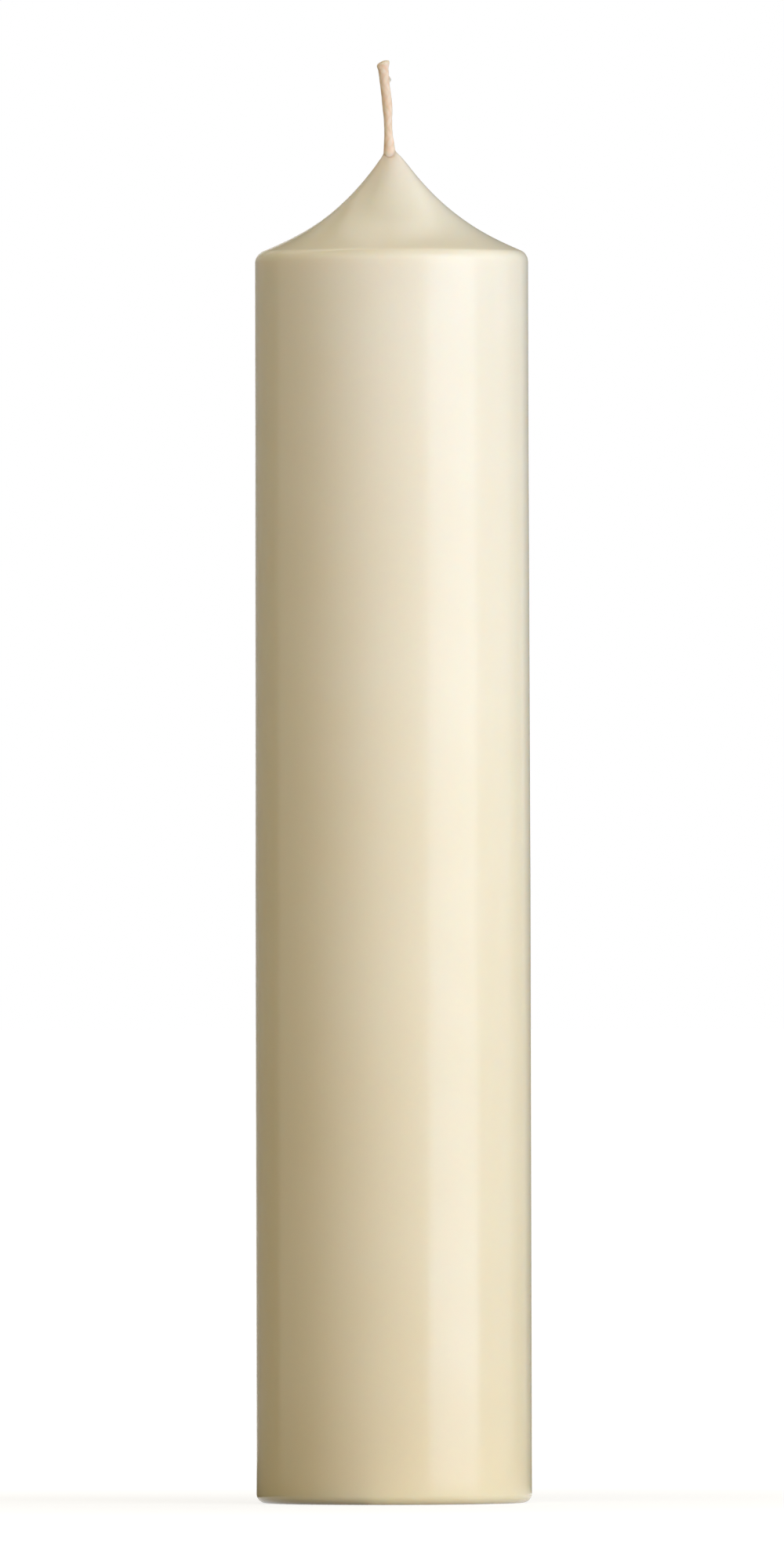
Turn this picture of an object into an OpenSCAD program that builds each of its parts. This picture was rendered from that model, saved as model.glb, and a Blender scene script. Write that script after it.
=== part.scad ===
// A slim pillar candle: one piece of wax with a drawn tip, and the plaited wick that runs through it.
// The flat base stands on Z = 0 with the candle's axis on Z. All lengths are in millimetres.

/* [Body] */
// Height of the wax, from the flat base to the flat end of the tip
wax_h = 244.7; // [200:0.1:400]
// Diameter of the straight lower part
body_d = 50; // [30:0.1:80]
// How much smaller the diameter is at the shoulder
draw_in = 0.34; // [0:0.02:4]
// Height of the stretch over which the body draws in
draw_h = 80; // [20:1:120]
// Height of the straight part between that stretch and the shoulder
upper_h = 35; // [10:1:60]
// Radius of the rounded edge of the base
base_round = 1.7; // [0.5:0.1:6]

/* [Tip] */
// Height of the drawn tip, from the shoulder's sharp corner to the tip's flat end
tip_h = 18.03; // [12:0.01:40]
// Radius of the rounded shoulder
shoulder_round = 2.35; // [0.5:0.05:6]
// Slope of the tip at the shoulder, in degrees above level
shoulder_angle = 23.3; // [5:0.1:45]
// Slope of the tip at the wick, in degrees above level
spire_angle = 52.1; // [45:0.1:75]
// Diameter at which the straight spire turns into the flare
spire_d = 7; // [4:0.1:14]
// How far the tip's flat end reaches past the wick's foot
tip_rim = 0.05; // [0.02:0.01:1]

/* [Wick] */
// Diameter of the plait inside the wax
wick_d = 1.6; // [0.8:0.1:4]
// How much wider the wick's foot is, where the wax has crept up it
foot_flare = 0.66; // [0.2:0.05:2]
// Length of the wick that stands free above the wax
wick_free = 16.8; // [6:0.1:40]
// How far the wick stands beside the candle's axis
wick_offset = 0.3; // [0:0.05:1]
// How far the free end leans out beyond the foot
wick_lean = 1.15; // [0:0.05:4]
// Slope of the cut end, in degrees above level
cut_angle = 22; // [0:1:45]
// How deep the wick's lower end lies inside the base
wick_recess = 0.5; // [0.2:0.1:5]

/* [Hidden] */
$fn = 96;

// The flare is one cubic curve: the reach of its two handles, as shares of the straight run between its ends
shoulder_reach = 0.25;
spire_reach = 0.48;
// Steps in a rounded edge, steps in the flare, sides of the free wick
edge_steps = 8;
flare_steps = 18;
wick_sides = 16;
// How far a cutting shape runs past the face that it opens
cut_past = 1;
// How late the free wick's rings turn to the slope of the cut: the higher, the nearer to the end
cut_turn = 6;

// Stations up the free wick, chosen by hand: share of its length, share of its lean, share of the plait's diameter.
// The foot's flare comes on top and fades out by the station at foot_end.
foot_end = 0.21;
wick_line = [
    [0, 0, 1],
    [0.07, 0.04, 1],
    [0.14, 0.1, 1],
    [0.21, 0.16, 0.96],
    [0.31, 0.22, 0.92],
    [0.41, 0.26, 0.98],
    [0.49, 0.31, 1.1],
    [0.56, 0.38, 1.15],
    [0.64, 0.5, 1.12],
    [0.73, 0.67, 1.09],
    [0.82, 0.82, 1.1],
    [0.9, 0.93, 1.16],
    [0.95, 0.98, 1.36],
    [0.985, 0.99, 1.38],
    [1, 1, 1.2]
];

body_r = body_d / 2;
upper_r = body_r - draw_in / 2;
wick_r = wick_d / 2;
foot_r = wick_r + foot_flare / 2;
tip_r = wick_offset + foot_r + tip_rim;
spire_r = spire_d / 2;

shoulder_z = wax_h - tip_h;
draw_top_z = shoulder_z - upper_h;
draw_foot_z = draw_top_z - draw_h;
spire_z = wax_h - (spire_r - tip_r) * tan(spire_angle);

// The shoulder's round touches the wall and the slope this far from their sharp corner
shoulder_turn = 90 - shoulder_angle;
shoulder_tangent = shoulder_round * tan(shoulder_turn / 2);
flare_start = [
    upper_r - shoulder_tangent * cos(shoulder_angle),
    shoulder_z + shoulder_tangent * sin(shoulder_angle)
];
flare_end = [spire_r, spire_z];
flare_run = norm(flare_end - flare_start);

// Points on an arc from one angle to another
function arc(centre, r, from, to) = [
    for (i = [0 : edge_steps])
        let (a = from + (to - from) * i / edge_steps)
            centre + r * [cos(a), sin(a)]
];

// The point at share t of the cubic curve with these four control points
function cubic(a, b, c, d, t) =
    pow(1 - t, 3) * a + 3 * pow(1 - t, 2) * t * b + 3 * (1 - t) * t * t * c + pow(t, 3) * d;

// The concave flare, from the shoulder's round up to the straight spire
function flare() =
    let (
        low = flare_start + shoulder_reach * flare_run * [-cos(shoulder_angle), sin(shoulder_angle)],
        high = flare_end + spire_reach * flare_run * [cos(spire_angle), -sin(spire_angle)]
    )
    [for (i = [1 : flare_steps]) cubic(flare_start, low, high, flare_end, i / flare_steps)];

// Half of the body's section, from the axis out along the base, up the wall and in along the tip
function body_section() = concat(
    [[0, 0]],
    arc([body_r - base_round, base_round], base_round, -90, 0),
    [[body_r, draw_foot_z], [upper_r, draw_top_z]],
    arc([upper_r - shoulder_round, shoulder_z - shoulder_tangent], shoulder_round, 0, shoulder_turn),
    flare(),
    [[tip_r, wax_h], [0, wax_h]]
);

// The wax, with the hole that the wick fills
module candle_body() {
    color("#f0e6cc")
    difference() {
        rotate_extrude() polygon(body_section());
        translate([-wick_offset, 0, -cut_past]) cylinder(h = wax_h + 2 * cut_past, r = wick_r);
    }
}

// Radius of the free wick at one of its stations
function station_r(s) =
    wick_r * s[2] + foot_flare / 2 * max(0, 1 - s[0] / foot_end);

// One ring of the free wick, which turns from level at the foot to the slope of the cut at the end
function wick_ring(s) =
    let (
        r = station_r(s),
        x = -wick_offset - wick_lean * s[1],
        slope = tan(cut_angle) * pow(s[0], cut_turn)
    )
    [
        for (i = [0 : wick_sides - 1])
            let (a = 360 * i / wick_sides)
                [x + r * cos(a), r * sin(a), wax_h + wick_free * s[0] + r * cos(a) * slope]
    ];

// The stub that stands free above the wax
module free_wick() {
    rings = len(wick_line);
    points = [for (s = wick_line) each wick_ring(s)];
    sides = [
        for (k = [0 : rings - 2], i = [0 : wick_sides - 1])
            let (
                low = k * wick_sides,
                high = low + wick_sides,
                next = (i + 1) % wick_sides
            )
            each [[high + i, high + next, low + i], [high + next, low + next, low + i]]
    ];
    foot = [for (i = [0 : wick_sides - 1]) i];
    end = [for (i = [wick_sides - 1 : -1 : 0]) (rings - 1) * wick_sides + i];
    polyhedron(points, concat(sides, [foot, end]));
}

// The plait, straight inside the wax and bent above it
module wick() {
    root_z = wax_h + wick_free * wick_line[1][0];
    color("#e1c3a0")
    union() {
        translate([-wick_offset, 0, wick_recess]) cylinder(h = root_z - wick_recess, r = wick_r);
        free_wick();
    }
}

candle_body();
wick();
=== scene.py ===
# %% [markdown]
# # An ivory advent candle
# The construction comes ready made and to size, as a frame of two solids: the wax and the wick.
# This lesson gives each of them a finer skin and a real finish, and lights them like a small studio.
# Everything is in metres and in the frame's own place, so nothing has to be fitted afterwards.

# %% Load the frame
import math

import bpy
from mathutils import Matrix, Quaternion, Vector, noise


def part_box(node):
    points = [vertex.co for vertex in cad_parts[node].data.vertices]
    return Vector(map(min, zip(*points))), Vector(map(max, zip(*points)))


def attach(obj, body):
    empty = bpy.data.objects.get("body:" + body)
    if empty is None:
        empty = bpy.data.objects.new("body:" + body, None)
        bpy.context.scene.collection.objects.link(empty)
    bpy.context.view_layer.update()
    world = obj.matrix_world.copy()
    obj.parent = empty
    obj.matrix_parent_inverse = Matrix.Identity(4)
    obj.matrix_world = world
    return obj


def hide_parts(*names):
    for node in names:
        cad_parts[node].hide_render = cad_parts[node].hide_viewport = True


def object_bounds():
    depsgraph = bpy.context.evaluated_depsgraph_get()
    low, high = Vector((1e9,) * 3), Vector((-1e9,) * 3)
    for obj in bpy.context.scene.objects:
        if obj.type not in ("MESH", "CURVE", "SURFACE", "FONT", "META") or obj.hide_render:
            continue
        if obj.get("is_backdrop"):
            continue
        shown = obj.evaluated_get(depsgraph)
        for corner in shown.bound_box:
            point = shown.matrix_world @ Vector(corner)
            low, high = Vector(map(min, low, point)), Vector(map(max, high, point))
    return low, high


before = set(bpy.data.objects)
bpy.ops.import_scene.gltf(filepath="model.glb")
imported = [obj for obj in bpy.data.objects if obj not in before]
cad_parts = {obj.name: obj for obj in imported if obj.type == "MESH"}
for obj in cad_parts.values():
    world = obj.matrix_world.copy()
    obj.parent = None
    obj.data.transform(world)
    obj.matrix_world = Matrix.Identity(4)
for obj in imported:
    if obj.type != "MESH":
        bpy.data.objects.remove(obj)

MM = 0.001
cad_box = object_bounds()
print("frame:", sorted(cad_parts), "size in mm:", [round(v / MM, 2) for v in cad_box[1] - cad_box[0]])

# %% [markdown]
# ## Sizes
# The outer sizes are read from the frame's solids, so the skin can't drift away from them. The rounds and
# slopes of the section can't be read from a box. They are repeated here from the construction. Only the
# wick's cut is different: it is domed here, so it slopes at 18 degrees and not at 22.

# %% Sizes of the wax
wax_low, wax_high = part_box("candle_body")
wax_h = wax_high.z
body_r = wax_high.x
draw_in = 0.34 * MM
draw_h = 80 * MM
upper_r = body_r - draw_in / 2
upper_h = 35 * MM
base_round = 1.7 * MM
tip_h = 18.03 * MM
shoulder_round = 2.35 * MM
shoulder_angle = math.radians(23.3)
spire_angle = math.radians(52.1)
spire_r = 3.5 * MM
tip_r = 1.48 * MM
print("the wax stands at", round(wax_low.z / MM, 2), "and reaches up to", round(wax_h / MM, 2), "mm")

# %% Sizes of the wick
wick_low, wick_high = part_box("wick")
wick_r = 0.8 * MM
wick_x = -0.3 * MM
wick_recess = 0.5 * MM
foot_r = 1.13 * MM
wick_free = 16.8 * MM
wick_lean = 1.15 * MM
cut_angle = math.radians(18)
print("the frame's wick runs from", round(wick_low.z / MM, 2), "to", round(wick_high.z / MM, 2), "mm")

# %% [markdown]
# ## Camera
# A slim product like this is photographed from far away with a long lens, level with its middle: the side
# walls stay parallel, and the base and the shoulder both show as almost straight lines. One scale ties
# the photograph to the frame, which is the width of the straight wall. The picture leans by a hair, so
# the camera rolls by the same.

# %% Camera
photo_w, photo_h = 1000, 2000
wall_px = 351.3
base_row_px = 1916.8
axis_column_px = 500.9
camera_distance = 6.0
camera_height = 0.103
picture_lean = math.radians(0.13)
sensor_mm = 36

metres_per_px = 2 * body_r / wall_px
aim = Vector(((photo_w / 2 - axis_column_px) * metres_per_px, 0, (base_row_px - photo_h / 2) * metres_per_px))
camera_data = bpy.data.cameras.new("camera")
camera = bpy.data.objects.new("camera", camera_data)
bpy.context.scene.collection.objects.link(camera)
bpy.context.scene.camera = camera
camera.location = Vector((aim.x, -camera_distance, camera_height))
look = aim - camera.location
camera.rotation_mode = "QUATERNION"
camera.rotation_quaternion = Quaternion(look.normalized(), picture_lean) @ look.to_track_quat("-Z", "Y")
camera_data.sensor_width = sensor_mm
camera_data.lens = sensor_mm * look.length / (photo_h * metres_per_px)
camera_data.clip_start = 0.1
camera_data.clip_end = 40
print("lens in mm:", round(camera_data.lens, 1))

# %% [markdown]
# ## Meshes ring by ring
# Both pieces are long round things: the wax is turned about its axis, and the wick is a bent rod. So one
# lathe serves them both. It takes rings of points and joins them with quads. A Screw modifier would turn
# the wax just as well, but it can't nudge a ring, and the nudges are what makes wax and cotton look real.

# %% The lathe
def ring_mesh(name, ring_points, closing):
    """A closed mesh from rings of equal count.

    With "loop" the last ring joins the first, and with "centres" each end closes on a centre point.
    """
    sides = len(ring_points[0])
    count = len(ring_points)
    verts = [point for ring in ring_points for point in ring]
    faces = []
    for k in range(count if closing == "loop" else count - 1):
        low = k * sides
        high = (k + 1) % count * sides
        for i in range(sides):
            j = (i + 1) % sides
            faces.append((low + i, low + j, high + j, high + i))
    if closing == "centres":
        last = (count - 1) * sides
        verts.append(sum(ring_points[0], Vector()) / sides)
        verts.append(sum(ring_points[-1], Vector()) / sides)
        for i in range(sides):
            j = (i + 1) % sides
            faces.append((j, i, len(verts) - 2))
            faces.append((last + i, last + j, len(verts) - 1))
    mesh = bpy.data.meshes.new(name)
    mesh.from_pydata(verts, [], faces)
    mesh.shade_smooth()
    piece = bpy.data.objects.new(name, mesh)
    bpy.context.scene.collection.objects.link(piece)
    return piece


def circle(x, z, r, sides):
    """A level ring of points with its centre at (x, 0, z)."""
    turns = [2 * math.pi * i / sides for i in range(sides)]
    return [Vector((x + r * math.cos(a), r * math.sin(a), z)) for a in turns]


print("lathe ready, a test ring has", len(circle(0, 0, body_r, 12)), "points")

# %% [markdown]
# ## The wax: its section
# The candle is pressed round and its tip is drawn up to the wick. Its section starts in the flat base,
# runs out round the edge, up the wall, over the shoulder and in along the tip. Arcs and one cubic curve
# describe it, as they do in the construction, only in finer steps: the flare leaves the shoulder at
# 23 degrees and reaches the wick at 52.

# %% Arcs, lines and the cubic
def arc(centre, radius, start, end, steps):
    """Points on an arc, from one angle to another, without its first one."""
    angles = [start + (end - start) * i / steps for i in range(1, steps + 1)]
    return [(centre[0] + radius * math.cos(a), centre[1] + radius * math.sin(a)) for a in angles]


def line(start, end, steps):
    """Points on a straight run, without its first one."""
    shares = [i / steps for i in range(1, steps + 1)]
    return [(start[0] + (end[0] - start[0]) * t, start[1] + (end[1] - start[1]) * t) for t in shares]


def cubic(a, b, c, d, steps):
    """Points on a cubic curve with four control points, without its first one."""
    points = []
    for i in range(1, steps + 1):
        t = i / steps
        weights = ((1 - t) ** 3, 3 * (1 - t) ** 2 * t, 3 * (1 - t) * t * t, t ** 3)
        points.append(tuple(sum(w * p[k] for w, p in zip(weights, (a, b, c, d))) for k in range(2)))
    return points


print("a quarter of a circle ends at", [round(v, 3) for v in arc((0, 0), 1, 0, math.pi / 2, 4)[-1]])

# %% The section
# How far the flare's two handles reach, as shares of the straight run between its ends
LOW_REACH = 0.25
HIGH_REACH = 0.48
# Steps in each part of the section, from the base to the spire
BASE_STEPS = 16
EDGE_STEPS = 14
WALL_STEPS = 44
DRAW_STEPS = 32
UPPER_STEPS = 14
SHOULDER_STEPS = 18
FLARE_STEPS = 64


def wax_section():
    """Half of the wax's outline as (radius, height) pairs, from near the wick in the base to the spire."""
    shoulder_z = wax_h - tip_h
    turn = math.pi / 2 - shoulder_angle
    tangent = shoulder_round * math.tan(turn / 2)
    flare_low = (
        upper_r - tangent * math.cos(shoulder_angle),
        shoulder_z + tangent * math.sin(shoulder_angle),
    )
    flare_high = (spire_r, wax_h - (spire_r - tip_r) * math.tan(spire_angle))
    run = math.dist(flare_low, flare_high)
    low_handle = (
        flare_low[0] - LOW_REACH * run * math.cos(shoulder_angle),
        flare_low[1] + LOW_REACH * run * math.sin(shoulder_angle),
    )
    high_handle = (
        flare_high[0] + HIGH_REACH * run * math.cos(spire_angle),
        flare_high[1] - HIGH_REACH * run * math.sin(spire_angle),
    )
    draw_top = (upper_r, shoulder_z - upper_h)
    draw_foot = (body_r, draw_top[1] - draw_h)
    points = line((0, 0), (body_r - base_round, 0), BASE_STEPS)
    points += arc((body_r - base_round, base_round), base_round, -math.pi / 2, 0, EDGE_STEPS)
    points += line(points[-1], draw_foot, WALL_STEPS)
    points += line(draw_foot, draw_top, DRAW_STEPS)
    points += line(draw_top, (upper_r, shoulder_z - tangent), UPPER_STEPS)
    points += arc((upper_r - shoulder_round, shoulder_z - tangent), shoulder_round, 0, turn, SHOULDER_STEPS)
    points += cubic(flare_low, low_handle, high_handle, flare_high, FLARE_STEPS)
    return points


section = wax_section()
print("rings in the section:", len(section), "widest in mm:", round(max(p[0] for p in section) / MM, 3))

# %% [markdown]
# ## The wax: its tip and its rim
# The tip was drawn up to the wick by hand, so it stands up to a quarter of a millimetre to one side. Where
# the wax meets the wick it creeps up and sets in a crooked little rim: high at the sides, low in front and
# behind. The rings there slide from the tip's axis to the wick, which stands a third of a millimetre beside
# it. The wax has soaked the cotton there, so the rings run on inside it and leave only a hair's width open:
# a wall so near the surface would swallow the light that scatters in the wax, and show as a dark line.

# %% Smooth curves through a table
def along(table, place, column):
    """The value in one column at this place in the first, on a smooth curve through the table's rows."""
    last = len(table) - 2
    k = max(i for i in range(last + 1) if table[i][0] <= place or i == 0)
    before, low, high, after = (table[max(0, min(last + 1, k + step))] for step in (-1, 0, 1, 2))
    run = high[0] - low[0]
    t = (place - low[0]) / run
    rise_low = run * (high[column] - before[column]) / (high[0] - before[0])
    rise_high = run * (after[column] - low[column]) / (after[0] - low[0])
    value = (1 + 2 * t) * (1 - t) ** 2 * low[column] + t * t * (3 - 2 * t) * high[column]
    return value + t * (1 - t) ** 2 * rise_low - t * t * (1 - t) * rise_high


print("half way between 0 and 1:", along([(0, 0), (1, 1)], 0.5, 1))

# %% The tip's shift to one side
# Height over the wax's top and how far the tip stands to the right there, both in millimetres
TIP_SHIFT = [
    (-20, 0),
    (-19, 0.02),
    (-17, 0.16),
    (-12.5, 0.26),
    (-8, 0.2),
    (-4, 0.15),
    (-2, 0.13),
    (0, 0.13),
    (1, 0.13),
]


def tip_shift(z):
    """How far the tip's ring at this height stands beside the candle's axis."""
    over = (z - wax_h) / MM
    return along(TIP_SHIFT, over, 1) * MM if over > TIP_SHIFT[0][0] else 0


print("the tip's shift in mm:", [round(tip_shift(wax_h - d * MM) / MM, 2) for d in (21, 18, 12, 6, 0)])

# %% The rim around the wick
# In millimetres: how far the rim rises on the right and falls on the left, how far it rises at both sides
# and falls in front and behind, and how far its mean lies under the tip's height
RIM_TILT = 0.21
RIM_SIDES = 0.43
RIM_DROP = 0.06
# Radius and height over the wax's top, both in millimetres, and share of the slide and of the rim's lift
RIM = [
    (2.9, -1.82, 0.05),
    (2.6, -1.45, 0.11),
    (2.35, -1.16, 0.18),
    (2.05, -0.83, 0.27),
    (1.75, -0.5, 0.42),
    (1.5, -0.28, 0.63),
    (1.33, -0.15, 0.82),
    (1.22, -0.05, 0.94),
    (1.15, 0.05, 1.0),
    (1.1, 0.13, 1.0),
    (1.04, 0.18, 1.0),
    (0.9, 0.2, 1.0),
    (0.5, 0.2, 1.0),
    (0.05, 0.2, 1.0),
    (0.05, -12, 1.0),
    (0.8, -14, 1.0),
]


def rim_lift(angle):
    """How far the rim stands above the tip's mean height, on each side of the wick."""
    return (RIM_TILT * math.cos(angle) + RIM_SIDES * math.cos(2 * angle) - RIM_DROP) * MM


lifts = [round(rim_lift(math.pi * turn) / MM, 2) for turn in (0, 0.5, 1)]
print("the rim's lift on the right, at the back and on the left in mm:", lifts)

# %% [markdown]
# ## The wax: its surface
# A pressed wall isn't perfect either. It is true to a few hundredths of a millimetre, and that is enough
# to make a highlight waver. The unevenness only goes inwards, so the candle never outgrows its size, and
# it dies away at the base, which has to stand flat.

# %% Unevenness of the wax
# How deep it is, how wide and how high its waves are, and the height up to which it fades in
UNEVEN_DEPTH = 0.05 * MM
UNEVEN_WIDTH = 16 * MM
UNEVEN_HEIGHT = 55 * MM
EVEN_FOOT = 6 * MM


def unevenness(x, y, z):
    """How far the wall lies inside its true radius at this point."""
    wave = noise.noise(Vector((x / UNEVEN_WIDTH, y / UNEVEN_WIDTH, z / UNEVEN_HEIGHT)))
    return UNEVEN_DEPTH * min(1, z / EVEN_FOOT) * (0.5 + 0.5 * wave)


print("unevenness half way up the front in mm:", round(unevenness(0, -body_r, wax_h / 2) / MM, 3))

# %% The wax's skin
WAX_SIDES = 192


def wax_ring(r, z, share):
    """One ring of the wax, with its unevenness, its slide towards the wick and the rim's lift."""
    points = []
    aside = tip_shift(z) * (1 - share) + wick_x * share
    for i in range(WAX_SIDES):
        a = 2 * math.pi * i / WAX_SIDES
        x = r * math.cos(a)
        y = r * math.sin(a)
        near = 1 - unevenness(x, y, z) / body_r
        points.append(Vector((x * near + aside, y * near, z + rim_lift(a) * share)))
    return points


hole_rings = [circle(wick_x, z, wick_r, WAX_SIDES) for z in (wax_h / 2, 0)]
wax_rings = [wax_ring(r, z, 0) for r, z in section]
wax_rings += [wax_ring(r * MM, wax_h + z * MM, share) for r, z, share in RIM]
wax_rings += hole_rings
wax = ring_mesh("wax_skin", wax_rings, "loop")
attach(wax, "root")
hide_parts("candle_body")
print("wax faces:", len(wax.data.polygons))

# %% [markdown]
# The material has to know where the wax has crept up the wick. A mesh attribute carries such a number for
# each vertex: here it is the ring's share of the slide.

# %% Where the wax has crept up
def mark_points(piece, name, values):
    """Gives each vertex of a piece its own number, under this name."""
    layer = piece.data.attributes.new(name, "FLOAT", "POINT")
    layer.data.foreach_set("value", values)


crept = [0] * len(section) + [share for r, z, share in RIM] + [0] * len(hole_rings)
mark_points(wax, "creep", [share for share in crept for i in range(WAX_SIDES)])
print("rings with wax that has crept:", sum(share > 0 for share in crept))

# %% [markdown]
# ## The wick: its line
# The wick is a round plait of cotton, primed with wax so that it stands by itself. Its free end is a
# stub that leans a little, swells where the plait loosens and has a squeezed lip where it was cut. The
# construction gives it as a few stations, and a smooth curve through them makes it supple. The lip has
# two stations more than the construction's, because it is sharper.

# %% Stations of the wick
# Share of the free length, share of the lean, share of the plait's diameter
WICK_LINE = [
    (0, 0, 1),
    (0.07, 0.04, 1),
    (0.14, 0.1, 1),
    (0.21, 0.16, 0.96),
    (0.31, 0.22, 0.92),
    (0.41, 0.26, 0.98),
    (0.49, 0.31, 1.1),
    (0.56, 0.38, 1.15),
    (0.64, 0.5, 1.12),
    (0.73, 0.67, 1.09),
    (0.82, 0.82, 1.1),
    (0.9, 0.93, 1.15),
    (0.928, 0.96, 1.18),
    (0.95, 0.975, 1.31),
    (0.967, 0.985, 1.4),
    (0.986, 0.99, 1.42),
    (1, 1, 1.29),
]
# Share of the free length up to which the wick's foot flares
FLARE_END = 0.21


def wick_centre(share):
    """The middle of the free wick at this share of its length."""
    return Vector((wick_x - wick_lean * along(WICK_LINE, share, 1), 0, wax_h + wick_free * share))


def wick_radius(share):
    """The free wick's radius at this share of its length, with the wax that has crept up its foot."""
    flare = (foot_r - wick_r) * max(0, 1 - share / FLARE_END)
    return wick_r * along(WICK_LINE, share, 2) + flare


widths = [round(2 * wick_radius(share) / MM, 2) for share in (0, 0.3, 0.6, 0.97)]
print("wick's diameter in mm from foot to lip:", widths)

# %% [markdown]
# ## The wick: its plait
# Eight strands make a round plait: four wind one way and four the other, each passing over two and under
# two. On the unrolled surface both families are sets of slanted stripes. Two numbers tell where a point
# lies: which stripe of each family it is in, and how far along. From them come the plait's height, which
# moves the mesh, and the strand's own direction, which the material needs for its fibres.

# %% The plait's height
# Strands that wind the same way, and the length of wick from one of them to the next
STRANDS = 4
PLAIT_STEP = 1.9 * MM
# How full a strand's rounding is: 1 is a plain wave, and less is fuller
STRAND_FULLNESS = 0.7
# A strand's mean height, and how far it rises over and dips under the strands that it crosses
STRAND_MEAN = 0.55
STRAND_SWING = 0.45
# How far apart neighbouring strands lie in the fibres' noise, so that no two have the same fibres
FIBRE_SHIFT = 3


def plait(angle, length):
    """The plait's height from 0 to 1, and the place across and along its upper strand."""
    turn = STRANDS * angle / (2 * math.pi)
    rise = length / PLAIT_STEP
    best = (-1, 0, 0)
    for stripe, other, side in ((rise + turn, rise - turn, 1), (rise - turn, rise + turn, -1)):
        across = stripe - round(stripe)
        over = side * math.cos(math.pi / 2 * (round(stripe) + other) - math.pi / 4)
        height = math.cos(math.pi * across) ** STRAND_FULLNESS * (STRAND_MEAN + STRAND_SWING * over)
        best = max(best, (height, across + FIBRE_SHIFT * round(stripe), other))
    return best


print("plait's height every half step:", [round(plait(0, PLAIT_STEP * i / 2)[0], 2) for i in range(5)])

# %% [markdown]
# A knot, a fibre's end caught in the wax, stands out on the right side near the top. It is a small tent
# over the plait: a straight rise and fall along the wick, and a rounded one across it.

# %% The knot
KNOT_Z = 258.3 * MM
KNOT_ABOVE = 0.7 * MM
KNOT_BELOW = 0.6 * MM
KNOT_HALF_ANGLE = 0.5
KNOT_HEIGHT = 0.4 * MM


def knot(angle, z):
    """Share of the knot's height at this place."""
    up = (z - KNOT_Z) / (KNOT_ABOVE if z > KNOT_Z else KNOT_BELOW)
    from_right = (angle + math.pi) % (2 * math.pi) - math.pi
    return max(0, 1 - abs(up)) * max(0, 1 - (from_right / KNOT_HALF_ANGLE) ** 2)


print("the knot's share of its height half way down:", round(knot(0, KNOT_Z - KNOT_BELOW / 2), 2))

# %% [markdown]
# The wick's rings turn from level at the foot to the slope of the cut at the end. The plait fades in above
# the foot, where the wax covers it, and is shallower at the squeezed lip.

# %% A ring of the free wick
WICK_SIDES = 72
# The higher, the nearer to the end the rings turn to the slope of the cut
CUT_TURN = 6
PLAIT_DEPTH = 0.025 * MM
# Height in the plait that lies on the wick's true radius
TRUE_HEIGHT = 0.65
# Shares of the free length between which the plait fades in, and between which the lip is squeezed
PLAIT_FADE = (0.06, 0.3)
LIP = (0.9, 0.96)
LIP_SQUEEZE = 0.5
# Share of the free length up to which the foot is soaked and painted paler
SOAKED_AND_BRIGHTENED_END = 0.1


def ramp(value, low, high):
    """Rises smoothly from 0 at low to 1 at high."""
    t = max(0, min(1, (value - low) / (high - low)))
    return t * t * (3 - 2 * t)


def wick_ring(share):
    """One ring of the free wick, and each point's plait height, knot, place on a strand and brightened
    soaking.
    """
    centre = wick_centre(share)
    radius = wick_radius(share)
    slope = math.tan(cut_angle) * share ** CUT_TURN
    depth = PLAIT_DEPTH * ramp(share, *PLAIT_FADE) * (1 - LIP_SQUEEZE * ramp(share, *LIP))
    points = []
    marks = []
    for i in range(WICK_SIDES):
        a = 2 * math.pi * i / WICK_SIDES
        height, across, length = plait(a, wick_free * share)
        lump = knot(a, centre.z)
        r = radius + depth * (height - TRUE_HEIGHT) * (1 - lump) + KNOT_HEIGHT * lump
        points.append(centre + Vector((r * math.cos(a), r * math.sin(a), radius * math.cos(a) * slope)))
        marks.append((height, lump, across, length, max(0, 1 - share / SOAKED_AND_BRIGHTENED_END)))
    return points, marks


print("the plait is", round(PLAIT_DEPTH / MM, 3), "mm deep and a ring has", len(wick_ring(0)[0]), "points")

# %% [markdown]
# The stub starts inside the wax's rim, so that no gap shows there, and the rest of the wick runs down the
# hole. The cut is slanted and slightly domed, because the strands spring back, and its strands show as
# small lobes.

# %% The wick's mesh
WICK_RINGS = 260
# How much thinner the buried wick is than its hole, and the depths between which it widens to its foot
HOLE_PLAY = 0.01 * MM
WIDENS_FROM = 2.2 * MM
WIDENS_TO = 1.3 * MM
# Height of the dome, and its rings from the edge in: share of the cut's radius, share of the dome's height
DOME = 0.275 * MM
CUT_RINGS = [(0.965, 0.09), (0.88, 0.26), (0.74, 0.49), (0.56, 0.72), (0.36, 0.89), (0.16, 0.98)]


def cut_ring(edge, inwards, up):
    """One ring of the cut: the last ring of the side drawn in and lifted along the dome."""
    middle = sum(edge, Vector()) / len(edge)
    return [middle + (p - middle) * inwards + Vector((0, 0, DOME * up)) for p in edge]


buried = [
    (wick_r - HOLE_PLAY, wick_recess),
    (wick_r - HOLE_PLAY, wax_h - WIDENS_FROM),
    (foot_r, wax_h - WIDENS_TO),
]
rings = [wick_ring(k / WICK_RINGS) for k in range(WICK_RINGS + 1)]
wick_rings = [circle(wick_x, z, r, WICK_SIDES) for r, z in buried]
wick_rings += [points for points, marks in rings]
wick_rings += [cut_ring(rings[-1][0], inwards, up) for inwards, up in CUT_RINGS]
wick = ring_mesh("plaited_wick", wick_rings, "centres")
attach(wick, "root")
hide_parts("wick")
top = max(v.co.z for v in wick.data.vertices)
print("wick faces:", len(wick.data.polygons), "top in mm:", round(top / MM, 3))
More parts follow.
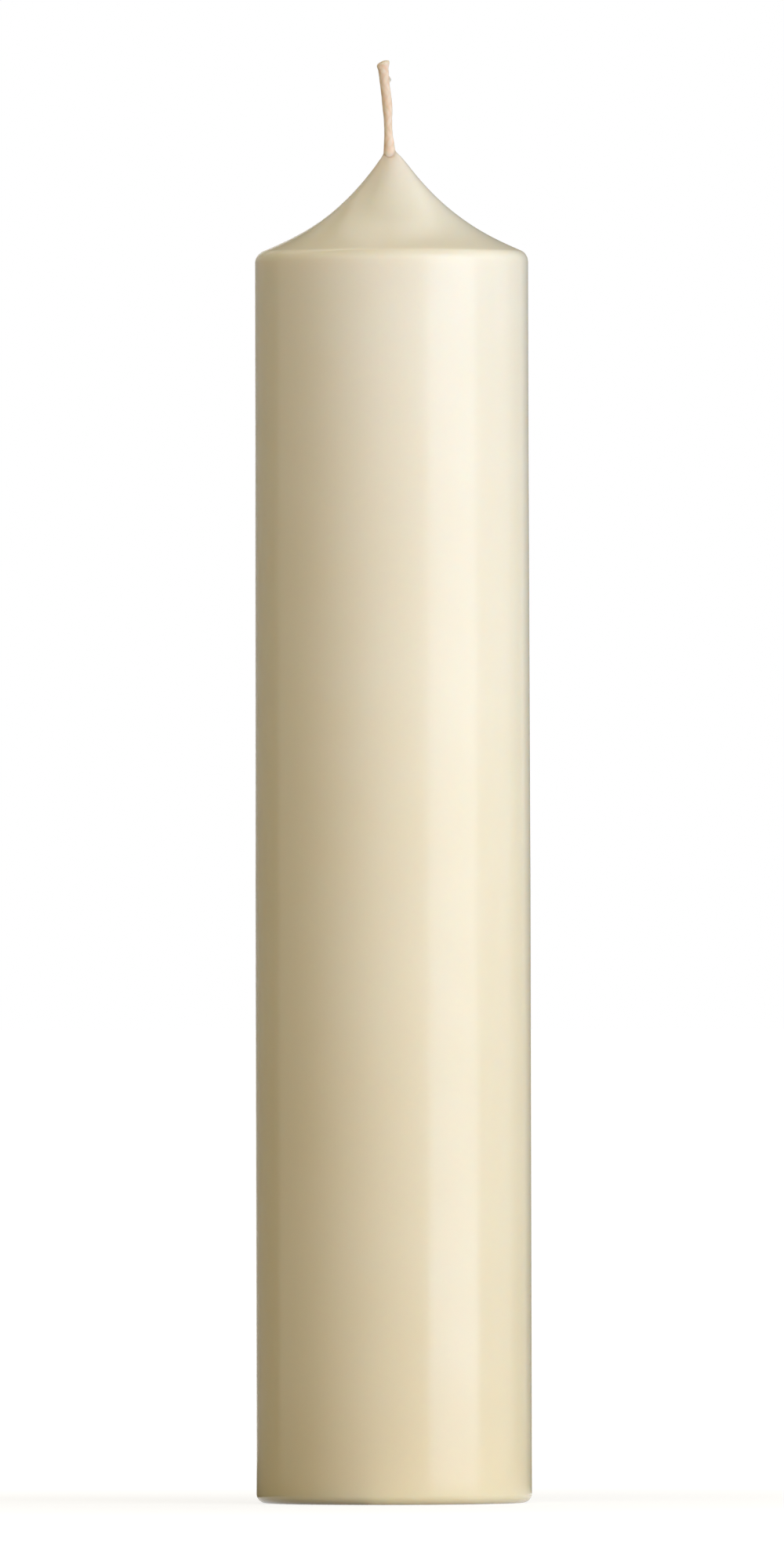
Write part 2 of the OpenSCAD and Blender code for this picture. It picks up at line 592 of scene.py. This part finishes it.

# %% [markdown]
# The wick's material paints shade into the gaps and light onto the foot, so it needs to know which points
# are strand tops and which are gaps. So the plait's height, the knot, the soaked and painted-paler foot
# and the place on the strand become attributes of the mesh too.

# %% Attributes of the wick
# What the buried rings and the two centre points are marked with: no gap, no knot, and wholly soaked and
# brightened
plain = (0.8, 0, 0, 0, 1)
marks = [plain] * (len(buried) * WICK_SIDES)
marks += [mark for points, ring_marks in rings for mark in ring_marks]
marks += [mark for step in CUT_RINGS for mark in rings[-1][1]]
marks += [plain, plain]
crowns, knots, acrosses, lengths, brightened_soakings = zip(*marks)
mark_points(wick, "crown", crowns)
mark_points(wick, "knot", knots)
mark_points(wick, "soaked_and_brightened", brightened_soakings)
strand = wick.data.attributes.new("strand", "FLOAT_VECTOR", "POINT")
strand.data.foreach_set("vector", [v for place in zip(acrosses, lengths) for v in (*place, 0)])
print("marked points:", len(marks), "of", len(wick.data.vertices))

# %% [markdown]
# ## Materials: the clouding that wax brings
# Poured wax is never one flat colour: it clouds softly as it cools, and its skin has a fine grain. The
# body has that clouding, and so has the primed wick, at a smaller size. So it is one shader node group,
# built once, with the size of the clouds as an input.

# %% Helpers for nodes
def add_node(tree, kind, values=None, **settings):
    """Adds a node, sets its properties, then the values of its unlinked inputs, and returns it."""
    node = tree.nodes.new(kind)
    for name, setting in settings.items():
        setattr(node, name, setting)
    for name, value in (values or {}).items():
        node.inputs[name].default_value = value
    return node


def srgb(red, green, blue):
    """A colour as a colour picker shows it, from 0 to 255, in the linear values that nodes want."""
    shares = [v / 255 for v in (red, green, blue)]
    return tuple(v / 12.92 if v <= 0.04045 else ((v + 0.055) / 1.055) ** 2.4 for v in shares) + (1,)


def new_material(name):
    """An empty material with its node tree, and its output node."""
    material = bpy.data.materials.new(name)
    material.use_nodes = True
    material.node_tree.nodes.clear()
    return material, material.node_tree, material.node_tree.nodes.new("ShaderNodeOutputMaterial")


print("ivory in linear values:", [round(v, 3) for v in srgb(243, 229, 198)])

# %% The clouding group
# How many times finer than the clouds the grain is
GRAIN_FINER = 9
# The noise's values between which a cloud rises from 0 to 1
CLOUD_EDGES = {"From Min": 0.3, "From Max": 0.7}


def build_clouding():
    """A shader node group that turns a place into a soft cloud and a fine grain, both from 0 to 1."""
    group = bpy.data.node_groups.new("wax_clouding", "ShaderNodeTree")
    group.interface.new_socket("Place", in_out="INPUT", socket_type="NodeSocketVector")
    group.interface.new_socket("Clouds per metre", in_out="INPUT", socket_type="NodeSocketFloat")
    group.interface.new_socket("Cloud", in_out="OUTPUT", socket_type="NodeSocketFloat")
    group.interface.new_socket("Grain", in_out="OUTPUT", socket_type="NodeSocketFloat")
    enter = add_node(group, "NodeGroupInput")
    leave = add_node(group, "NodeGroupOutput")
    cloud = add_node(group, "ShaderNodeTexNoise", {"Detail": 3, "Roughness": 0.45})
    finer = add_node(group, "ShaderNodeMath", {1: GRAIN_FINER}, operation="MULTIPLY")
    grain = add_node(group, "ShaderNodeTexNoise", {"Detail": 2, "Roughness": 0.5})
    spread = add_node(group, "ShaderNodeMapRange", CLOUD_EDGES, interpolation_type="SMOOTHSTEP")
    link = group.links.new
    link(enter.outputs["Place"], cloud.inputs["Vector"])
    link(enter.outputs["Clouds per metre"], cloud.inputs["Scale"])
    link(enter.outputs["Place"], grain.inputs["Vector"])
    link(enter.outputs["Clouds per metre"], finer.inputs[0])
    link(finer.outputs[0], grain.inputs["Scale"])
    link(cloud.outputs["Fac"], spread.inputs["Value"])
    link(spread.outputs["Result"], leave.inputs["Cloud"])
    link(grain.outputs["Fac"], leave.inputs["Grain"])
    return group


clouding = build_clouding()
print("group:", clouding.name, [s.name for s in clouding.interface.items_tree])

# %% [markdown]
# ## Materials: the wax
# Wax is slightly see-through: light goes in, scatters and comes out beside where it went in, redder than
# before. Subsurface scattering does that, and it rounds off the shadow side. Over it lies a satin skin,
# so a lamp mirrors in it as one soft band. Over its height the wax's colour runs from a darker, yellower
# foot to a paler top and a darker, pinker tip. That is painted light and shade: warm light from below,
# cooler light from above and shade on the tip's slopes. The wax turns to the wick's own colour where it
# has crept up the cotton, because the film is thin there.

# %% The wax's colours and gloss
# Painted light and shade over the height: the foot darker and yellower, the top paler, the tip darker and
# pinker
WAX_FOOT = srgb(239, 224, 190)
WAX_MIDDLE = srgb(242, 229, 201)
WAX_TOP = srgb(244, 234, 216)
WAX_TIP = srgb(238, 227, 214)
WAX_CREPT = srgb(252, 223, 200)
# Share of the height from which the upper wall's colour turns into the tip's
TIP_SHARE = 0.965
WAX_CLOUDS_PER_METRE = 28
# What a full cloud multiplies the colour by
WAX_CLOUD = (0.985, 0.975, 0.95, 1)
# Roughness between the clouds and in them
WAX_ROUGHNESS = {"To Min": 0.18, "To Max": 0.2}
WAX_GRAIN = {"Strength": 0.12, "Distance": 0.02 * MM}
WAX_IOR = 1.44
WAX_SCATTER_WEIGHT = 0.8
# How far light scatters in the wax, and the share of it that red, green and blue get
WAX_SCATTER = 3 * MM
WAX_SCATTER_SHARES = (1.0, 0.8, 0.6)
print("light scatters in the wax over", round(WAX_SCATTER / MM, 1), "mm")

# %% The wax's material
def wax_material():
    """Satin ivory wax with soft clouding, and painted light and shade over its height."""
    material, tree, output = new_material("ivory_wax")
    link = tree.links.new
    place = add_node(tree, "ShaderNodeTexCoord")
    clouds = add_node(tree, "ShaderNodeGroup", node_tree=clouding)
    clouds.inputs["Clouds per metre"].default_value = WAX_CLOUDS_PER_METRE
    split = add_node(tree, "ShaderNodeSeparateXYZ")
    height = add_node(tree, "ShaderNodeMapRange", {"From Min": 0, "From Max": wax_h})
    painted_light_tint = add_node(tree, "ShaderNodeValToRGB")
    painted_light_tint.color_ramp.elements[0].color = WAX_FOOT
    painted_light_tint.color_ramp.elements[1].color = WAX_TIP
    painted_light_tint.color_ramp.elements.new(0.5).color = WAX_MIDDLE
    painted_light_tint.color_ramp.elements.new(TIP_SHARE).color = WAX_TOP
    creep_mark = add_node(tree, "ShaderNodeAttribute", attribute_name="creep")
    crept = add_node(tree, "ShaderNodeMix", data_type="RGBA")
    crept.inputs["B"].default_value = WAX_CREPT
    deeper = add_node(tree, "ShaderNodeMix", data_type="RGBA", blend_type="MULTIPLY")
    deeper.inputs["B"].default_value = WAX_CLOUD
    gloss = add_node(tree, "ShaderNodeMapRange", WAX_ROUGHNESS)
    bump = add_node(tree, "ShaderNodeBump", WAX_GRAIN)
    skin = add_node(tree, "ShaderNodeBsdfPrincipled")
    skin.inputs["IOR"].default_value = WAX_IOR
    skin.inputs["Subsurface Weight"].default_value = WAX_SCATTER_WEIGHT
    skin.inputs["Subsurface Radius"].default_value = WAX_SCATTER_SHARES
    skin.inputs["Subsurface Scale"].default_value = WAX_SCATTER
    link(place.outputs["Object"], clouds.inputs["Place"])
    link(place.outputs["Object"], split.inputs["Vector"])
    link(split.outputs["Z"], height.inputs["Value"])
    link(height.outputs["Result"], painted_light_tint.inputs["Fac"])
    link(creep_mark.outputs["Fac"], crept.inputs["Factor"])
    link(painted_light_tint.outputs["Color"], crept.inputs["A"])
    link(crept.outputs["Result"], deeper.inputs["A"])
    link(clouds.outputs["Cloud"], deeper.inputs["Factor"])
    link(deeper.outputs["Result"], skin.inputs["Base Color"])
    link(clouds.outputs["Cloud"], gloss.inputs["Value"])
    link(gloss.outputs["Result"], skin.inputs["Roughness"])
    link(clouds.outputs["Grain"], bump.inputs["Height"])
    link(bump.outputs["Normal"], skin.inputs["Normal"])
    link(skin.outputs["BSDF"], output.inputs["Surface"])
    return material


wax.data.materials.append(wax_material())
print("wax material:", wax.data.materials[0].name)

# %% [markdown]
# ## Materials: the wick
# Bare cotton is off-white, but cotton soaked in wax turns tan. The gaps between its strands are darker
# and redder: painted shade in the plait's hollows. The fibres run along each strand: the mesh attribute
# gives the place on the strand, and a noise that is stretched along it gives the fibres. The knot is
# painted greyer than the rest, as shade. The foot is paler where the wax lies thick on it, and painted
# paler still for the light that is lost into its buried part. Light scatters in the whole wick, and what
# goes down into its buried part is lost. So red travels less far here than green and blue, or the foot
# would turn grey.

# %% The wick's colours and gloss
WICK_CROWN = srgb(237, 212, 190)
# The gaps' colour is painted shade in the plait's hollows
WICK_GAP_SHADE = srgb(232, 202, 176)
# The foot is paler for its thick wax, and painted paler still for the light lost into the buried wick
WICK_FOOT = srgb(255, 224, 202)
# The knot's grey is painted shade, as if the knot lay in shadow
KNOT_SHADE_GREY = srgb(170, 164, 146)
WICK_CLOUDS_PER_METRE = 600
# What a full cloud multiplies the colour by
WICK_CLOUD = (0.96, 0.94, 0.91, 1)
# Heights in the plait between which the gaps' painted shade turns into the crown's colour
GAP_SHADE_EDGES = {"From Min": 0.25, "From Max": 0.85}
FIBRES_ACROSS = 9
FIBRES_ALONG = 1.2
FIBRE_NOISE = {"Scale": 1, "Detail": 2, "Roughness": 0.6}
FIBRE_RELIEF = {"Strength": 0.35, "Distance": 0.03 * MM}
WICK_ROUGHNESS = 0.5
# How far light scatters in the wick, and the share of it that red, green and blue get
WICK_SCATTER = 2.4 * MM
WICK_SCATTER_SHARES = (0.6, 0.85, 1.0)
print("light scatters in the wick over", round(WICK_SCATTER / MM, 1), "mm")

# %% The wick's material
def wick_material():
    """Plaited cotton primed with wax, with fibres along its strands."""
    material, tree, output = new_material("primed_cotton")
    link = tree.links.new
    place = add_node(tree, "ShaderNodeTexCoord")
    clouds = add_node(tree, "ShaderNodeGroup", node_tree=clouding)
    clouds.inputs["Clouds per metre"].default_value = WICK_CLOUDS_PER_METRE
    crown_mark = add_node(tree, "ShaderNodeAttribute", attribute_name="crown")
    knot_mark = add_node(tree, "ShaderNodeAttribute", attribute_name="knot")
    strand_mark = add_node(tree, "ShaderNodeAttribute", attribute_name="strand")
    soaked_and_brightened_mark = add_node(tree, "ShaderNodeAttribute", attribute_name="soaked_and_brightened")
    stretch = add_node(tree, "ShaderNodeVectorMath", operation="MULTIPLY")
    stretch.inputs[1].default_value = (FIBRES_ACROSS, FIBRES_ALONG, 1)
    fibres = add_node(tree, "ShaderNodeTexNoise", FIBRE_NOISE)
    depth = add_node(tree, "ShaderNodeMapRange", GAP_SHADE_EDGES, interpolation_type="SMOOTHSTEP")
    cotton = add_node(tree, "ShaderNodeMix", data_type="RGBA")
    cotton.inputs["A"].default_value = WICK_GAP_SHADE
    cotton.inputs["B"].default_value = WICK_CROWN
    cloudy = add_node(tree, "ShaderNodeMix", data_type="RGBA", blend_type="MULTIPLY")
    cloudy.inputs["B"].default_value = WICK_CLOUD
    knot_shaded = add_node(tree, "ShaderNodeMix", data_type="RGBA")
    knot_shaded.inputs["B"].default_value = KNOT_SHADE_GREY
    waxed_and_brightened = add_node(tree, "ShaderNodeMix", data_type="RGBA")
    waxed_and_brightened.inputs["B"].default_value = WICK_FOOT
    bump = add_node(tree, "ShaderNodeBump", FIBRE_RELIEF)
    skin = add_node(tree, "ShaderNodeBsdfPrincipled")
    skin.inputs["Roughness"].default_value = WICK_ROUGHNESS
    skin.inputs["IOR"].default_value = WAX_IOR
    skin.inputs["Subsurface Weight"].default_value = 1.0
    skin.inputs["Subsurface Radius"].default_value = WICK_SCATTER_SHARES
    skin.inputs["Subsurface Scale"].default_value = WICK_SCATTER
    link(place.outputs["Object"], clouds.inputs["Place"])
    link(strand_mark.outputs["Vector"], stretch.inputs[0])
    link(stretch.outputs["Vector"], fibres.inputs["Vector"])
    link(crown_mark.outputs["Fac"], depth.inputs["Value"])
    link(depth.outputs["Result"], cotton.inputs["Factor"])
    link(cotton.outputs["Result"], cloudy.inputs["A"])
    link(clouds.outputs["Cloud"], cloudy.inputs["Factor"])
    link(cloudy.outputs["Result"], knot_shaded.inputs["A"])
    link(knot_mark.outputs["Fac"], knot_shaded.inputs["Factor"])
    link(knot_shaded.outputs["Result"], waxed_and_brightened.inputs["A"])
    link(soaked_and_brightened_mark.outputs["Fac"], waxed_and_brightened.inputs["Factor"])
    link(waxed_and_brightened.outputs["Result"], skin.inputs["Base Color"])
    link(fibres.outputs["Fac"], bump.inputs["Height"])
    link(bump.outputs["Normal"], skin.inputs["Normal"])
    link(skin.outputs["BSDF"], output.inputs["Surface"])
    return material


wick.data.materials.append(wick_material())
print("wick material:", wick.data.materials[0].name)

# %% [markdown]
# ## Studio: the background
# The candle stands on a pale floor in front of white. To the camera, and to what mirrors it, world and
# floor are plain white. To everything else they are dimmer and warmer, like a room with pale walls and a
# darker ceiling, so that they don't wash out the candle's shading. The Light Path node tells the two apart.

# %% The world
AMBIENT = (1.0, 0.87, 0.48, 1)
# Strength of the ambience at the horizon and overhead
AMBIENT_STRENGTH = {"To Min": 0.49, "To Max": 0.32}


def seen_directly(tree):
    """A value that is 1 for camera, glossy and transmission rays, and 0 for all others."""
    path = add_node(tree, "ShaderNodeLightPath")
    either = add_node(tree, "ShaderNodeMath", operation="MAXIMUM")
    any_of = add_node(tree, "ShaderNodeMath", operation="MAXIMUM")
    tree.links.new(path.outputs["Is Camera Ray"], either.inputs[0])
    tree.links.new(path.outputs["Is Glossy Ray"], either.inputs[1])
    tree.links.new(either.outputs[0], any_of.inputs[0])
    tree.links.new(path.outputs["Is Transmission Ray"], any_of.inputs[1])
    return any_of.outputs[0]


def build_world():
    """White where it is seen, and a soft warm ambience where it only lights."""
    world = bpy.data.worlds.new("studio")
    bpy.context.scene.world = world
    world.use_nodes = True
    tree = world.node_tree
    tree.nodes.clear()
    direction = add_node(tree, "ShaderNodeTexCoord")
    split = add_node(tree, "ShaderNodeSeparateXYZ")
    ceiling = add_node(tree, "ShaderNodeMapRange", AMBIENT_STRENGTH)
    lighting = add_node(tree, "ShaderNodeBackground", {"Color": AMBIENT})
    white = add_node(tree, "ShaderNodeBackground", {"Color": (1, 1, 1, 1), "Strength": 1})
    mix = add_node(tree, "ShaderNodeMixShader")
    output = add_node(tree, "ShaderNodeOutputWorld")
    tree.links.new(direction.outputs["Generated"], split.inputs["Vector"])
    tree.links.new(split.outputs["Z"], ceiling.inputs["Value"])
    tree.links.new(ceiling.outputs["Result"], lighting.inputs["Strength"])
    tree.links.new(seen_directly(tree), mix.inputs[0])
    tree.links.new(lighting.outputs[0], mix.inputs[1])
    tree.links.new(white.outputs[0], mix.inputs[2])
    tree.links.new(mix.outputs[0], output.inputs["Surface"])


build_world()
print("world:", bpy.context.scene.world.name)

# %% [markdown]
# The floor is a large flat card. Its own glow is weakest where the candle stands, so that the candle's
# shadow shows, and full a little further out.

# %% The floor
FLOOR_SIDE = 60
FLOOR_GREY = (0.27, 0.255, 0.23, 1)
# Where the floor's glow starts to rise and where it is full, in metres, and its strength at each
FLOOR_GLOW = {"From Min": 0.03, "From Max": 0.3, "To Min": 0.8, "To Max": 1.0}
UP = (0, 0, 1)


def card(name, width, height, location, facing, material):
    """A flat sheet of the studio: it isn't part of the candle."""
    mesh = bpy.data.meshes.new(name)
    x = width / 2
    y = height / 2
    mesh.from_pydata([(-x, -y, 0), (x, -y, 0), (x, y, 0), (-x, y, 0)], [], [(0, 1, 2, 3)])
    mesh.materials.append(material)
    sheet = bpy.data.objects.new(name, mesh)
    bpy.context.scene.collection.objects.link(sheet)
    sheet.location = location
    sheet.rotation_mode = "QUATERNION"
    sheet.rotation_quaternion = Vector(facing).to_track_quat("Z", "Y")
    sheet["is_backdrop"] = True
    return sheet


def floor_material():
    """A pale floor: it shows the candle's soft shadow, and is white where it is fully lit."""
    material, tree, output = new_material("pale_floor")
    matt = add_node(tree, "ShaderNodeBsdfDiffuse", {"Color": FLOOR_GREY})
    glow = add_node(tree, "ShaderNodeEmission", {"Color": (1, 1, 1, 1)})
    place = add_node(tree, "ShaderNodeTexCoord")
    reach = add_node(tree, "ShaderNodeVectorMath", operation="LENGTH")
    rise = add_node(tree, "ShaderNodeMapRange", FLOOR_GLOW, interpolation_type="SMOOTHSTEP")
    strength = add_node(tree, "ShaderNodeMath", operation="MULTIPLY")
    both = add_node(tree, "ShaderNodeAddShader")
    tree.links.new(place.outputs["Object"], reach.inputs[0])
    tree.links.new(reach.outputs["Value"], rise.inputs["Value"])
    tree.links.new(seen_directly(tree), strength.inputs[0])
    tree.links.new(rise.outputs["Result"], strength.inputs[1])
    tree.links.new(strength.outputs[0], glow.inputs["Strength"])
    tree.links.new(matt.outputs[0], both.inputs[0])
    tree.links.new(glow.outputs[0], both.inputs[1])
    tree.links.new(both.outputs[0], output.inputs["Surface"])
    return material


floor = card("floor", FLOOR_SIDE, FLOOR_SIDE, (0, 0, 0), UP, floor_material())
print("floor in metres:", [round(v, 1) for v in floor.dimensions])

# %% [markdown]
# ## Studio: the lamps
# One tall softbox stands to the right, in front. Its mirror image is the long soft band on the wall, so
# its place and width follow from the band's. The floor cuts that image off just below the candle's foot,
# where the band would fade out, so a thin strip at the softbox's foot makes up for it. The other lamps
# have no mirror image of their own, as if they stood behind a sheet. A low one on the right and a high
# one on the left soften the shading, and one behind the candle lights the slopes of its tip. The last is
# tiny and lies on the floor at the candle's foot. It stands for the warm light that a real pale floor
# throws back at the base's edge, because this floor is darker than it looks.

# %% Two helpers for lamps
def softbox(name, azimuth, distance, low, high, width, power, colour=(1, 1, 1), mirrored=True):
    """A lamp from one height to another that faces the candle, at degrees to the right of the camera."""
    lamp = bpy.data.lights.new(name, "AREA")
    lamp.shape = "RECTANGLE"
    lamp.size = width
    lamp.size_y = high - low
    lamp.energy = power
    lamp.color = colour
    box = bpy.data.objects.new(name, lamp)
    bpy.context.scene.collection.objects.link(box)
    turn = math.radians(azimuth)
    box.location = (distance * math.sin(turn), -distance * math.cos(turn), (low + high) / 2)
    box.rotation_mode = "QUATERNION"
    box.rotation_quaternion = Vector((math.sin(turn), -math.cos(turn), 0)).to_track_quat("Z", "Y")
    box.visible_camera = False
    box.visible_glossy = mirrored
    return box


def aim_at(lamp, place, target):
    """Puts a lamp at a place and turns its face to the target."""
    lamp.location = place
    lamp.rotation_quaternion = (Vector(place) - Vector(target)).to_track_quat("Z", "Y")


print("lamps so far:", len(bpy.data.lights))

# %% The lamps
# What the tall softbox and the strip at its foot have in common
KEY = {"azimuth": 52, "width": 0.57, "colour": (0.645, 0.79, 1.0)}
# Side of the small lamp on the floor, and its place at the right half of the candle's foot
FOOT_LAMP_SIDE = 0.053
FOOT_LAMP_PLACE = (0.022, -0.03, 0.00005)
softbox("key_softbox", distance=0.7, low=0.0, high=0.75, power=3.54, **KEY)
softbox("foot_strip", distance=0.69, low=0.0, high=0.03, power=0.3, **KEY)
softbox(
    "right_fill", azimuth=38, distance=0.5, low=0.0, high=0.25, width=0.35,
    power=0.9, colour=(0.85, 0.85, 1.0), mirrored=False,
)
left_fill = softbox(
    "left_fill", azimuth=-25, distance=0.5, low=0.425, high=0.675, width=0.35,
    power=0.62, mirrored=False,
)
aim_at(left_fill, left_fill.location, (0, 0, 0.2))
top_lamp = softbox(
    "top_lamp", azimuth=165, distance=0.55, low=0.7, high=1.1, width=0.4,
    power=2.4, mirrored=False,
)
aim_at(top_lamp, top_lamp.location, (0, 0, wax_h))
foot_lamp = softbox(
    "foot_lamp", azimuth=0, distance=0, low=0, high=FOOT_LAMP_SIDE, width=FOOT_LAMP_SIDE,
    power=0.0016, colour=(1.0, 0.87, 0.62), mirrored=False,
)
aim_at(foot_lamp, FOOT_LAMP_PLACE, (FOOT_LAMP_PLACE[0], FOOT_LAMP_PLACE[1], 1))

# %% [markdown]
# ## Studio: the cards
# Satin wax mirrors all that stands around it, and in a white room its edges would melt into the
# background. So cards stand behind the candle, out of the picture: a pale one on the left, and a grey and
# a beige one on the right. They also shade the candle a little, as cards in a studio do. Four more only
# mirror: a grey one further back, a grey roof, and two dark ones that lie on the floor beside the candle
# and behind it. The tip's slopes and the lowest part of the wall mirror those. The two dark floor cards
# are a painted shadow: they stand for the candle's shadow on the floor, in its mirror image alone.

# %% Helpers for cards
DOWN = (0, 0, -1)


def card_material(name, colour):
    """Matt card of this colour."""
    material, tree, output = new_material(name)
    matt = add_node(tree, "ShaderNodeBsdfDiffuse", {"Color": colour})
    tree.links.new(matt.outputs[0], output.inputs["Surface"])
    return material


def standing_card(name, azimuth, distance, width, height, material):
    """A card that stands at this azimuth, mirrors and shades, and is itself never seen."""
    turn = math.radians(azimuth)
    out = Vector((math.sin(turn), -math.cos(turn), 0))
    sheet = card(name, width, height, out * distance + Vector((0, 0, height / 2)), -out, material)
    sheet.visible_camera = False


def mirror_card(name, width, height, location, facing, material):
    """A card that shows in mirror images alone, so that it takes no light from the candle."""
    sheet = card(name, width, height, location, facing, material)
    sheet.visible_camera = False
    sheet.visible_diffuse = False
    sheet.visible_shadow = False


pale = card_material("pale_card", (0.6, 0.58, 0.56, 1))
beige = card_material("beige_card", (0.95, 0.85, 0.6, 1))
grey = card_material("grey_card", (0.3, 0.29, 0.27, 1))
dark = card_material("dark_card", (0.15, 0.15, 0.14, 1))
print("card colours:", [m.name for m in (pale, beige, grey, dark)])

# %% The cards
standing_card("left_card", azimuth=-138, distance=0.4, width=0.44, height=0.5, material=pale)
mirror_card("back_card", 0.4, 0.5, location=(-0.16, 0.6, 0.6), facing=(0.16, -0.6, 0), material=grey)
standing_card("right_card", azimuth=162, distance=0.4, width=0.3, height=0.7, material=grey)
standing_card("right_beige_card", azimuth=126, distance=0.4, width=0.17, height=0.7, material=beige)
mirror_card("roof_card", 0.9, 0.6, location=(0.15, -0.1, 0.75), facing=DOWN, material=grey)
# Painted shadow: these two dark cards stand for the candle's shadow on the floor, and show only in mirror
# images
mirror_card("left_floor_shadow_card", 0.374, 0.55, location=(-0.213, 0.125, 0.0005), facing=UP, material=dark)
mirror_card("right_floor_shadow_card", 0.324, 0.35, location=(0.188, 0.225, 0.0005), facing=UP, material=dark)

# %% [markdown]
# ## Finish
# Colours are shown as they are: the Standard view has no film curve. The boxes of the frame and of the
# finished candle are compared, and their difference is printed.

# %% Sizes and the last line
bpy.context.scene.view_settings.view_transform = "Standard"
seen_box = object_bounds()
growth = [[round((a - b) / MM, 3) for a, b in zip(*corners)] for corners in zip(seen_box, cad_box)]
print("difference of the boxes in mm:", growth)
